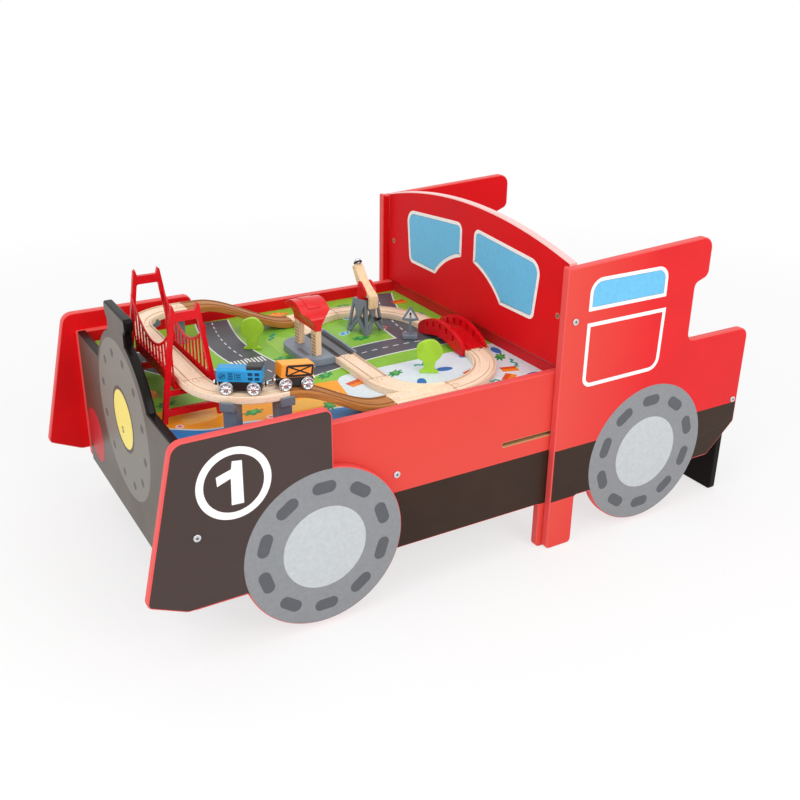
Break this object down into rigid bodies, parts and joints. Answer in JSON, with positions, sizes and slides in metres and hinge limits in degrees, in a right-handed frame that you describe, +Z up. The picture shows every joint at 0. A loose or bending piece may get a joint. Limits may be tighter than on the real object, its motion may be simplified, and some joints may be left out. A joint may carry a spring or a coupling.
{
  "type": "train table",
  "caption": "Engine-shaped play table on boards with wheel discs: a box tray that carries a wooden railway, and a cab with windshield, seat and back",
  "frame": {"origin": "on the floor under the middle of the table's length and width", "axes": "+X from the nose to the cab, -Y the near side, +Z up"},
  "size_m": [1.175, 0.624, 0.569],
  "materials": {
    "red_paint": "satin red paint on fibreboard",
    "black_paint": "glossy black paint on fibreboard",
    "play_print": "satin printed sheet on fibreboard",
    "bare_wood": "bare fibreboard",
    "zinc_steel": "bright zinc plate",
    "light_beech": "smooth sanded beech",
    "dark_beech": "stained beech",
    "red_plastic": "glossy moulded red",
    "grey_plastic": "satin moulded slate grey",
    "green_plastic": "satin bright green",
    "silver_plastic": "silver moulded wheels",
    "blue_plastic": "glossy blue",
    "orange_paint": "glossy orange",
    "black_plastic": "satin black"
  },
  "bodies": {
    "root": {"arched_bridge": "red_plastic", "box_rear_wall": "red_paint", "bridge_deck": "red_plastic", "bridge_tower_far": "red_plastic", "bridge_tower_near": "red_plastic", "cab_side_far": "red_paint", "cab_side_near": "red_paint", "centre_beam": "bare_wood", "connector_centre_beam_far": "zinc_steel", "connector_centre_beam_near": "zinc_steel", "connector_nose_far": "zinc_steel", "connector_nose_near": "zinc_steel", "connector_rear_far": "zinc_steel", "connector_rear_near": "zinc_steel", "connector_windshield_far": "zinc_steel", "connector_windshield_near": "zinc_steel", "crane_tower": "grey_plastic", "fender_far": "black_paint", "fender_near": "black_paint", "nose_panel": "black_paint", "pier_far_1": "grey_plastic", "pier_far_2": "grey_plastic", "pier_near_1": "grey_plastic", "pier_near_2": "grey_plastic", "play_board": "play_print", "rear_panel": "black_paint", "seat_board": "red_paint", "side_panel_far": "red_paint", "side_panel_near": "red_paint", "station_platform": "grey_plastic", "station_post_1": "light_beech", "station_post_2": "light_beech", "station_roof": "red_plastic", "track_bridge": "light_beech", "track_high_bend_far": "light_beech", "track_high_bend_near": "light_beech", "track_link": "light_beech", "track_loop_far": "light_beech", "track_loop_near": "light_beech", "track_ramp_far": "dark_beech", "track_ramp_near": "dark_beech", "track_turnout_far": "light_beech", "track_turnout_near": "light_beech", "windshield_panel": "red_paint"},
    "engine": {"engine_chassis": "black_plastic", "engine_body": "blue_plastic", "engine_roof": "black_plastic"},
    "engine_wheels_front": {"engine_axle_front": "silver_plastic"},
    "engine_wheels_rear": {"engine_axle_rear": "silver_plastic"},
    "wagon": {"wagon_chassis": "black_plastic", "wagon_body": "orange_paint"},
    "wagon_wheels_front": {"wagon_axle_front": "silver_plastic"},
    "wagon_wheels_rear": {"wagon_axle_rear": "silver_plastic"},
    "crane_top": {"crane_turntable": "red_plastic"},
    "crane_boom": {"crane_boom": "light_beech", "crane_magnet": "zinc_steel"},
    "crane_winch": {"crane_winch_knob": "black_plastic"},
    "tree_near": {"tree_near": "green_plastic"},
    "tree_far": {"tree_far": "green_plastic"},
    "road_sign": {"road_sign": "grey_plastic"}
  },
  "joints": [
    {"name": "engine_lift", "type": "slide", "parent": "root", "child": "engine", "axis": [0, 0, 1], "range_m": [0, 0.15]},
    {"name": "engine_wheels_front_roll", "type": "hinge", "parent": "engine", "child": "engine_wheels_front", "pos_m": [-0.40943, -0.20391, 0.3987], "axis": [0.5299, 0.848, 0], "continuous": true},
    {"name": "engine_wheels_rear_roll", "type": "hinge", "parent": "engine", "child": "engine_wheels_rear", "pos_m": [-0.37492, -0.22548, 0.3987], "axis": [0.5299, 0.848, 0], "continuous": true},
    {"name": "wagon_lift", "type": "slide", "parent": "root", "child": "wagon", "axis": [0, 0, 1], "range_m": [0, 0.15]},
    {"name": "wagon_wheels_front_roll", "type": "hinge", "parent": "wagon", "child": "wagon_wheels_front", "pos_m": [-0.3332, -0.231, 0.39863], "axis": [0, 1, 0], "continuous": true},
    {"name": "wagon_wheels_rear_roll", "type": "hinge", "parent": "wagon", "child": "wagon_wheels_rear", "pos_m": [-0.29752, -0.231, 0.39391], "axis": [0, 1, 0], "continuous": true},
    {"name": "crane_swivel", "type": "hinge", "parent": "root", "child": "crane_top", "pos_m": [-0.016, 0.09, 0.3886], "axis": [0, 0, 1], "continuous": true},
    {"name": "crane_tilt", "type": "hinge", "parent": "crane_top", "child": "crane_boom", "pos_m": [-0.016, 0.09, 0.4081], "axis": [1, 0, 0], "range_deg": [-30, 0]},
    {"name": "crane_winch_turn", "type": "hinge", "parent": "root", "child": "crane_winch", "pos_m": [-0.00865, 0.06982, 0.352], "axis": [-0.342, 0.9397, 0], "continuous": true},
    {"name": "tree_near_lift", "type": "slide", "parent": "root", "child": "tree_near", "axis": [0, 0, 1], "range_m": [0, 0.1]},
    {"name": "tree_far_lift", "type": "slide", "parent": "root", "child": "tree_far", "axis": [0, 0, 1], "range_m": [0, 0.1]},
    {"name": "road_sign_lift", "type": "slide", "parent": "root", "child": "road_sign", "axis": [0, 0, 1], "range_m": [0, 0.1]}
  ]
}
